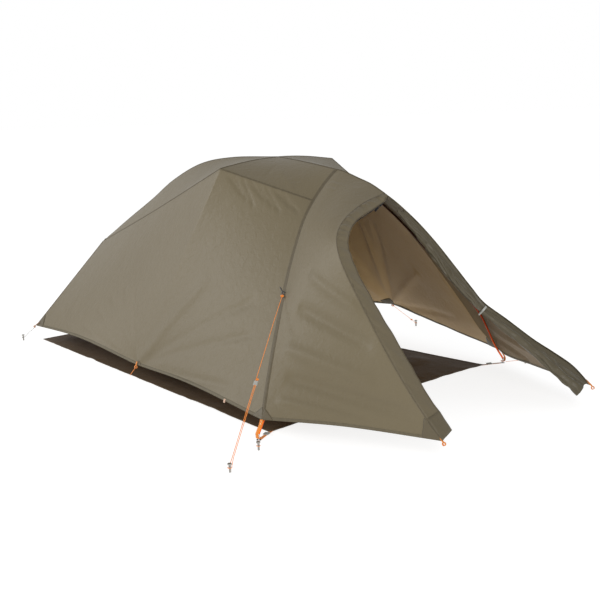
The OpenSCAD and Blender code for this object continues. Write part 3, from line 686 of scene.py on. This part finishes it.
# Storm flap. A double strip of the fly cloth that covers the zip along the near edge of the door,
# sewn along its outer edge, where the stitching draws it into small puckers.
door_edge = mm([(-8, -1116, 862), (-44, -1129, 846), (-172, -1158, 813), (-240, -1174, 795),
                (-305, -1203, 761), (-350, -1240, 720), (-380, -1305, 648), (-396, -1430, 508),
                (-400, -1560, 364), (-402, -1680, 230), (-388, -1789, 107)])
flap_rows, flap_cols = 180, 10
flap = span_sheet(curve([flap_seam[0], door_edge[0]], flap_cols),
                  curve([flap_seam[-1], door_edge[-1]], flap_cols),
                  curve(flap_seam, flap_rows), curve(door_edge, flap_rows))
flap_out = outward(flap, (-0.3, -0.7, 0.6))
across = np.linspace(0, 1, flap_cols + 1)[None, :]
pucker = np.array([[noise.noise(Vector((i * 0.2 - j * 0.16, 3.1 + j * 0.05, 0)))
                    for j in range(flap_cols + 1)] for i in range(flap_rows + 1)])
stand_off, pucker_height, arch_height = 0.0015, 0.014, 0.004
lift = (stand_off + pucker_height * pucker * (1 - 0.6 * across) * np.minimum(1, across * 5)
        + arch_height * np.sin(across * math.pi))
flap = flap + flap_out * lift[..., None]
bm = bmesh.new()
lay_grid(bm, flap, False, (0.08, 1.3))
flap_cloth = ripstop("flap_cloth", (0.128, 0.105, 0.063), (0.112, 0.09, 0.053), sheen=0.08)
storm_flap = add_object("storm_flap_strip", bm, [flap_cloth, fly_inside_painted_light])
thicken(storm_flap, 0.0012, 1)
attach(storm_flap, "root")
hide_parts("storm_flap")
bm = bmesh.new()
beside = np.array([sample(flap, 0.25, v) for v in np.linspace(0, 1, len(vest_near))])
lay_seam(bm, vest_near[:, -1], vest_near[:, -3], beside, narrow_seam)
lay_hem(bm, flap[:, -1], flap[:, -2], 0.006)
flap_edges = add_object("storm_flap_edges", bm, [seam_cloth])
bm = bmesh.new()
end_rows = slice(-10, None)
lay_grid(bm, flap[end_rows] + flap_out[end_rows] * 0.0016, False, (0.08, 0.07))
flap_end = add_object("storm_flap_patch", bm, [patch_cloth])
thicken(flap_end, 0.0009)
for trim in (flap_edges, flap_end):
    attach(trim, "root")


# Door margin. The part of the vestibule door that is not rolled: one layer of the fly cloth that
# lies against the inside of the far panel, between the roll and the bend of that panel.
margin_length, margin_cols, panel_edge = 1.2, 16, 0.997
shares = np.linspace(0.02, 1, 60)
over_bend = np.array(right) * 0.77 + np.array(upward) * 0.64
far_in = -outward(vest_far, (1, 0, 0.3))
margin = []
for v in np.linspace(0.004, 0.988, 110):
    line = np.array([sample(vest_far, u, v) for u in shares]) - camera_at
    bend = int(np.argmax(line @ over_bend / (line @ -np.array(back))))
    first = min(shares[max(bend - 5, 0)], 0.5 if v < 0.3 else 0.9)
    row = []
    for u in (mix(first, panel_edge, k / margin_cols) for k in range(margin_cols + 1)):
        gap = 0.003 + 0.0025 * noise.noise(Vector((u * 9, v * 26, 2)))
        row.append(sample(vest_far, u, v) + sample(far_in, u, v) * gap)
    margin.append(row)
margin = np.array(margin)
bm = bmesh.new()
lay_grid(bm, margin, turned_at(margin, 40, 5, sample(far_in, 0.8, 0.4)), (0.12, margin_length))
# The margin is painted lighter than the fly's outer side: painted light for a face that is lit on the real
# tent but turns into the shade here.
margin_cloth_painted_light = ripstop("margin_cloth_painted_light", (0.2, 0.165, 0.098), (0.17, 0.138, 0.08), sheen=0.08)
door_margin = add_object("door_margin", bm, [margin_cloth_painted_light, margin_cloth_painted_light])
thicken(door_margin, cloth_thick)
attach(door_margin, "root")


# Rolled door. The vestibule door is unzipped, rolled up towards the far side and tied half way
# down; the roll is slack above the tie and spreads into a flat band below it.
roll_line = mm([(22, -1150, 812), (62, -1214, 728), (88, -1290, 638), (108, -1368, 548),
                (134, -1446, 462), (152, -1492, 412), (212, -1556, 342), (288, -1634, 256),
                (350, -1708, 178), (408, -1790, 96)])
roll_radius = [9, 20, 26, 28, 23, 17, 25, 29, 34, 36]
roll_steps, roll_turns, turn_steps = 150, 3.2, 40
roll_path = curve(roll_line, roll_steps)
roll_size = curve([(r, 0, 0) for r in roll_radius], roll_steps)[:, 0] * 0.001
sheet_steps = int(roll_turns * turn_steps)
band_from, droop_from, droop, flatness = 0.75, 0.7, 0.012, 0.66
roll = np.zeros((roll_steps + 1, sheet_steps + 1, 3))
for i, (t, _, _) in enumerate(frames(roll_path)):
    across_dir = unit(np.cross(t, (0, -0.745, 0.667)))
    out_dir = np.cross(across_dir, t)
    spread = 1.15 + 0.3 * max(0.0, i / roll_steps - band_from) * 4
    for j in range(sheet_steps + 1):
        a = 2 * math.pi * j / turn_steps
        wound = 0.3 + 0.68 * j / sheet_steps
        at = Vector((math.cos(a) * 0.95, math.sin(a) * 0.95, i * 0.06))
        crease = max(0.0, 1 - abs(noise.noise(at)) * 3.6) ** 1.3
        fine = noise.noise(Vector((math.cos(a) * 1.3, math.sin(a) * 1.3, i * 0.2 + 9)))
        bunched = 1 - 0.6 * max(0.0, math.cos(a + 0.6))
        radius = roll_size[i] * wound * (1.04 + bunched * (0.26 * fine - 0.4 * crease))
        roll[i, j] = (roll_path[i] + across_dir * radius * math.cos(a) * spread
                      + out_dir * radius * math.sin(a) * flatness)
        roll[i, j, 2] -= droop * max(0.0, i / roll_steps - droop_from) / (1 - droop_from)
bm = bmesh.new()
lay_grid(bm, roll, False, (0.6, 1.3))
bmesh.ops.recalc_face_normals(bm, faces=bm.faces)
# The roll is the fly cloth painted darker: painted shade for the shade inside its bunched turns.
rolled_cloth_painted_shade = ripstop("rolled_cloth_painted_shade", (0.09, 0.075, 0.045), (0.068, 0.056, 0.033), roughness=0.42,
                       sheen=0.08)
rolled_door = add_object("rolled_door_cloth", bm, [rolled_cloth_painted_shade, rolled_cloth_painted_shade])
thicken(rolled_door, 0.0008)
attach(rolled_door, "root")
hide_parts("rolled_door")
# The single layer that runs from the edge of the far panel into the roll, slack across its width.
layer_cols, roll_start = 10, 2
sag = np.array((0.4, 0.3, 1)) * -0.03
layer = []
for edge in margin[:, -1]:
    nearest = int(np.argmin(np.linalg.norm(roll_path - edge, axis=1)))
    if nearest > roll_start:
        core = roll_path[nearest]
        layer.append([mix(edge, core, k / layer_cols)
                      + sag * math.sin(math.pi * k / layer_cols) * math.dist(edge, core)
                      for k in range(layer_cols + 1)])
bm = bmesh.new()
lay_grid(bm, np.array(layer), False, (0.08, 1.1))
# The single layer takes the roll's darker painted-shade colour too.
door_layer = add_object("door_layer", bm, [rolled_cloth_painted_shade, rolled_cloth_painted_shade])
thicken(door_layer, cloth_thick)
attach(door_layer, "root")


# Ground sheet. Darker coated ripstop with a bound edge, laid flat. Straps run from its front corners
# and the middle of its rear edge to the feet of the poles.
ground_cloth = ripstop("ground_cloth", (0.088, 0.053, 0.023), (0.068, 0.04, 0.016), roughness=0.65,
                       sheen=0.05)
half_length, front_half, rear_half, scoop = 1090, 660, 535, 12
sheet_top, ripple_height = 0.0021, 0.008
sheet_cols, sheet_rows = 66, 108
front_edge = curve(mm([(-front_half, -half_length, 0), (-front_half / 2, -half_length + scoop, 0),
                       (front_half / 2, -half_length + scoop, 0), (front_half, -half_length, 0)]), sheet_cols)
rear_edge = curve(mm([(-rear_half, half_length, 0), (0, half_length - scoop, 0),
                      (rear_half, half_length, 0)]), sheet_cols)
side_edge = curve(mm([(-rear_half, half_length, 0), (-front_half, -half_length, 0)]), sheet_rows)
ground = span_sheet(rear_edge, front_edge, side_edge, side_edge * flip)
for row in ground:
    for p in row:
        ripple = noise.noise(Vector(p) * 5.0) + 0.5 * noise.noise(Vector(p) * 14.0)
        p[2] = sheet_top + max(0.0, ripple) * ripple_height
bm = bmesh.new()
lay_grid(bm, ground, False, (1.3, 2.18))
ground_sheet = add_object("ground_cloth_sheet", bm, [ground_cloth, ground_cloth])
thicken(ground_sheet, 0.0008)
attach(ground_sheet, "root")
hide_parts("ground_sheet")
binding_cloth = sewn_cloth("binding_tape", (0.115, 0.082, 0.05), (0.05, 0.036, 0.02), 0.0035, 0.0225)
bm = bmesh.new()
for edge, inner in ((ground[0], ground[1]), (ground[-1], ground[-2]),
                    (ground[:, 0], ground[:, 1]), (ground[:, -1], ground[:, -2])):
    lay_hem(bm, edge, inner, 0.011)
ground_binding = add_object("ground_binding", bm, [binding_cloth])
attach(ground_binding, "root")


# Poles. Drawn aluminium tube in sections that plug together over bare inserts. Red anodised, with
# painted light and shade by height: bright orange near the ground, darkening to near black at the top.
# Bare metal also serves for the tips and grommets, and the stakes are duller.
def grained(name, color, roughness, metallic, scale, detail, strength, dark_share):
    """A hard surface with a fine grain in its height and its tone."""
    material, tree, shader = new_material(name, color, roughness)
    shader.inputs["Metallic"].default_value = metallic
    grain = add_node(tree, "ShaderNodeTexNoise",
                     [("Vector", own_place(tree)), ("Scale", scale), ("Detail", detail)]).outputs["Fac"]
    set_bump(tree, shader, grain, 0.0001, strength)
    tone = color_ramp(tree, grain, [(0.3, [c * dark_share for c in color]), (0.7, color)])
    tree.links.new(tone, shader.inputs["Base Color"])
    return material


def paint(material, *names):
    for name in names:
        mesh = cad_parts[name].data
        mesh.materials.clear()
        mesh.materials.append(material)


metal_grain = (1.0, 600.0, 3.0, 0.5, 0.8)
anodised = grained("anodised_red", (0.36, 0.03, 0.012), 0.32, *metal_grain)
pole_tree = anodised.node_tree
# Painted light and shade: the pole's one red is ramped by height, bright orange at the foot and near black at
# the top.
height = add_node(pole_tree, "ShaderNodeSeparateXYZ", [("Vector", own_place(pole_tree))]).outputs["Z"]
painted_shade_by_height = color_ramp(pole_tree, height, [(0.03, (0.75, 0.13, 0.015)), (0.16, (0.5, 0.06, 0.012)),
                                      (0.4, (0.2, 0.022, 0.01)), (0.62, (0.04, 0.014, 0.009))])
pole_tree.links.new(painted_shade_by_height, pole_tree.nodes["Principled BSDF"].inputs["Base Color"])
paint(anodised, *[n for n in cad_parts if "_pole_" in n and n != "brow_pole_caps"], "brow_pole")
bare_metal = grained("bare_aluminium", (0.7, 0.7, 0.7), 0.35, *metal_grain)
paint(bare_metal, "pole_inserts", "pole_tips", "corner_grommets")
paint(grained("stake_aluminium", (0.45, 0.43, 0.4), 0.4, *metal_grain), *stakes)


# Webbing. Woven polyester tape, 12 to 15 mm wide: the fly's front straps with a ring that drops
# over each pole foot, the straps of the ground sheet, and the small loops sewn to the guy points.
web_section = ((-1, 0), (-0.93, -1), (0, -1), (0.93, -1), (1, 0), (0.93, 1), (0, 1), (-0.93, 1), (-1, 0))


def lay_webbing(bm, path, width, thick, across):
    """A length of tape along a path; across is the way its width lies."""
    path = np.array(path)
    rows = []
    for p, t in zip(path, np.gradient(path, axis=0)):
        wide = unit(np.array(across) - t * t.dot(across) / t.dot(t))
        high = unit(np.cross(t, wide))
        rows.append([p + wide * a * width / 2 + high * b * thick / 2 for a, b in web_section])
    lay_grid(bm, np.array(rows), False, (2 * width, length_of(path)))


def woven_tape(name, color):
    """Twill tape: slanting ribs along it, from its UV map in metres, with painted shade in the grooves
    between the ribs.
    """
    material, tree, shader = new_material(name, color, 0.65)
    uv = own_uv(tree)
    spin = add_node(tree, "ShaderNodeMapping", [("Vector", uv), ("Rotation", (0, 0, 0.9))])
    rib = add_node(tree, "ShaderNodeTexWave",
                   [("Vector", spin.outputs["Vector"]), ("Scale", 230.0), ("Distortion", 0.4)])
    # Painted shade: the grooves between the ribs are painted darker.
    tone = color_ramp(tree, rib.outputs["Fac"], [(0.0, [c * 0.72 for c in color]), (0.6, color)])
    tree.links.new(tone, shader.inputs["Base Color"])
    set_bump(tree, shader, rib.outputs["Fac"], 0.0003)
    shader.inputs["Sheen Weight"].default_value = 0.2
    return material


def finish_webbing(name, bm, material, slot, *nodes):
    """Joins and closes the tapes laid in a mesh and makes them one piece that stands for the nodes."""
    bmesh.ops.remove_doubles(bm, verts=bm.verts, dist=0.00002)
    bmesh.ops.holes_fill(bm, edges=[e for e in bm.edges if e.is_boundary], sides=8)
    bmesh.ops.recalc_face_normals(bm, faces=bm.faces)
    piece = add_object(name, bm, [material])
    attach(piece, "root")
    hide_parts(*nodes)


orange_tape = woven_tape("orange_tape", (0.93, 0.28, 0.01))
pale_tape = woven_tape("pale_tape", (0.72, 0.46, 0.32))
dark_tape = woven_tape("dark_tape", (0.035, 0.032, 0.026))
bm = bmesh.new()
for sign in ((1, 1, 1), (-1, 1, 1)):
    lean = np.array((0.3, -1, 0)) * sign
    strap = curve(mm([(-729, -1130, 80), (-737, -1133, 64), (-757, -1135, 34), (-759, -1136, 24),
                      (-757, -1135, 12)]) * sign, 24)
    lay_webbing(bm, strap, 0.0145, 0.0013, lean)
    lay_webbing(bm, strap[:9] + (-0.0012 * sign[0], -0.0003, 0), 0.0125, 0.0012, lean)
    turns = np.linspace(0, 2 * math.pi, 33)
    ring = [mm((-748, -1132, 12)) * sign + 0.0085 * np.array((math.cos(a), math.sin(a), 0)) for a in turns]
    lay_webbing(bm, ring, 0.0022, 0.0026, (0, 0, 1))
finish_webbing("corner_webbing", bm, orange_tape, "orange_webbing", "fly_corner_straps")

sheet_strap = curve(mm([(-642, -1082, 2.8), (-660, -1090, 2.7), (-700, -1108, 2.7),
                        (-738.8, -1127.8, 2.7)]), 16)
bm = bmesh.new()
lay_webbing(bm, sheet_strap, 0.015, 0.0012, (0.4, 1, 0))
finish_webbing("near_sheet_webbing", bm, orange_tape, "orange_webbing", "sheet_corner_straps")
bm = bmesh.new()
lay_webbing(bm, sheet_strap * flip, 0.015, 0.0012, (0.4, 1, 0))
lay_webbing(bm, curve(mm([(0, 1056, 2.7), (0, 1132, 2.7)]), 8), 0.015, 0.0012, (1, 0, 0))
finish_webbing("far_sheet_webbing", bm, pale_tape, "pale_webbing", "sheet_corner_straps")
tab_at = sample(side_near, ahead(0.76), 1)
bm = bmesh.new()
lay_webbing(bm, [tab_at + mm(step) for step in ((3, 0, 7), (-0.5, 0, 2), (-2, 0, -3), (-2.5, 0, -8))],
            0.012, 0.0008, (0, 1, 0))
finish_webbing("hem_tab", bm, pale_tape, "pale_webbing", "fly_corner_straps")

loops = [((-461, -966, 513), (0, 1, 0)), ((466, -969, 514), (0, 1, 0)), ((0, 1250, 490), (1, 0, 0)),
         ((-630, -60, 71), (0, 1, 0)), ((798, -360, 173), (0, 1, 0))]
for side in (1, -1):
    loops += [((-571 * side, 1107, 79), (1, 0, 0)), ((-458 * side, -1812, 79), (1, 0, 0))]
tabs = [[(-480, -972, 540), (-472, -970, 527), (-463, -967, 518)],
        [(480, -972, 541), (473, -971, 528), (466, -969, 519)],
        [(0, 1230, 502), (0, 1244, 498), (0, 1251, 495)],
        [(-622, -60, 96), (-627, -60, 84), (-630, -60, 75)],
        [(785, -360, 196), (792, -360, 184), (798, -360, 177)]]
for side in (1, -1):
    tabs += [[(-552 * side, 1082, 104), (-563 * side, 1098, 90), (-571 * side, 1107, 83)],
             [(-455 * side, -1782, 108), (-458 * side, -1803, 90), (-458 * side, -1811, 83)]]
over, turns = np.array((0, 0, 1)), np.linspace(0, 2 * math.pi, 25)
for name, material, part in (("loop_webbing", orange_tape, (3, 4, 6, 8)),
                             ("leg_loop_webbing", dark_tape, (0, 1, 2)),
                             ("rear_loop_webbing", pale_tape, (5, 7))):
    bm = bmesh.new()
    for k in part:
        (at, axis), tab = loops[k], tabs[k]
        aside = unit(np.cross(axis, over))
        ring = [mm(at) + 0.0064 * (aside * math.cos(a) + over * math.sin(a)) for a in turns]
        lay_webbing(bm, curve(mm(tab), 8), 0.0082, 0.0018, axis)
        lay_webbing(bm, ring, 0.0078, 0.0011, axis)
    finish_webbing(name, bm, material, "orange_webbing", "fly_guy_loops")


# Rivets. Pressed metal caps, two to a strap, that hold the front straps to the fly's corner patches.
# Each is set through both layers of the tape.
bm = bmesh.new()
for side in (1, -1):
    for at in ((-733.2, -1133.5, 73), (-737.5, -1134.6, 64)):
        cap = bmesh.ops.create_uvsphere(bm, u_segments=16, v_segments=8, radius=0.0026)["verts"]
        bmesh.ops.scale(bm, vec=(0.6, 0.6, 1.0), verts=cap)
        bmesh.ops.translate(bm, vec=mm(at) * (side, 1, 1), verts=cap)
strap_rivets = add_object("strap_rivets", bm, [bare_metal])
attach(strap_rivets, "root")


# Moulded fittings. The hub, the swivel clip, the caps and the zip's parts are black nylon; the door's
# tie, the hooks and the line lock are pale grey. All keep the design's own shapes.
plastic_grain = (0.0, 900.0, 2.0, 0.6, 0.85)
black_plastic = grained("black_plastic", (0.02, 0.02, 0.022), 0.5, *plastic_grain)
pale_plastic = grained("pale_plastic", (0.34, 0.34, 0.31), 0.5, *plastic_grain)
paint(black_plastic, "front_hub", "swivel_clip", "brow_pole_caps", "zip_coil", "zip_slider", "zip_pull")
paint(pale_plastic, "door_tie", "tie_toggle", "corner_hooks", "line_lock", "shock_cord")


# Floor and studio light. A plain white floor that fades into a white backdrop, lit by a large soft
# box from the rear left and another from the front left.
white = (1, 1, 1, 1)
bm = bmesh.new()
bmesh.ops.create_grid(bm, x_segments=1, y_segments=1, size=60)
floor = add_object("floor", bm, [])
floor_material, _, floor_shader = new_material("floor", (0.35, 0.35, 0.35), 0.95)
floor_shader.inputs["Emission Color"].default_value = white
floor_shader.inputs["Emission Strength"].default_value = 0.8
floor_shader.inputs["Specular IOR Level"].default_value = 0.0
floor.data.materials.append(floor_material)
world = bpy.data.worlds.new("world")
bpy.context.scene.world = world
world.use_nodes = True
sky_tree = world.node_tree
backdrop = sky_tree.nodes["Background"]
backdrop.inputs["Color"].default_value = white
backdrop.inputs["Strength"].default_value = 1.0
dimmed = add_node(sky_tree, "ShaderNodeBackground", [("Color", white), ("Strength", 0.62)])
seen = add_node(sky_tree, "ShaderNodeLightPath").outputs["Is Camera Ray"]
sky = add_node(sky_tree, "ShaderNodeMixShader",
               [(0, seen), (1, dimmed.outputs[0]), (2, backdrop.outputs[0])])
sky_tree.links.new(sky.outputs[0], sky_tree.nodes["World Output"].inputs["Surface"])
bpy.context.scene.view_settings.view_transform = "Standard"


def soft_box(name, at, aim, size, power):
    data = bpy.data.lights.new(name, "AREA")
    data.energy = power
    data.shape = "RECTANGLE"
    data.size, data.size_y = size
    lamp = bpy.data.objects.new(name, data)
    lamp.location = at
    lamp.rotation_euler = (Vector(aim) - Vector(at)).to_track_quat("-Z", "Y").to_euler()
    bpy.context.scene.collection.objects.link(lamp)


soft_box("key", (-3.9, 3.6, 2.6), (0, 0, 0.4), (2, 2), 150)
soft_box("front", (-2.8, -4.8, 2.4), (0, -1, 0.3), (1.6, 1.6), 105)
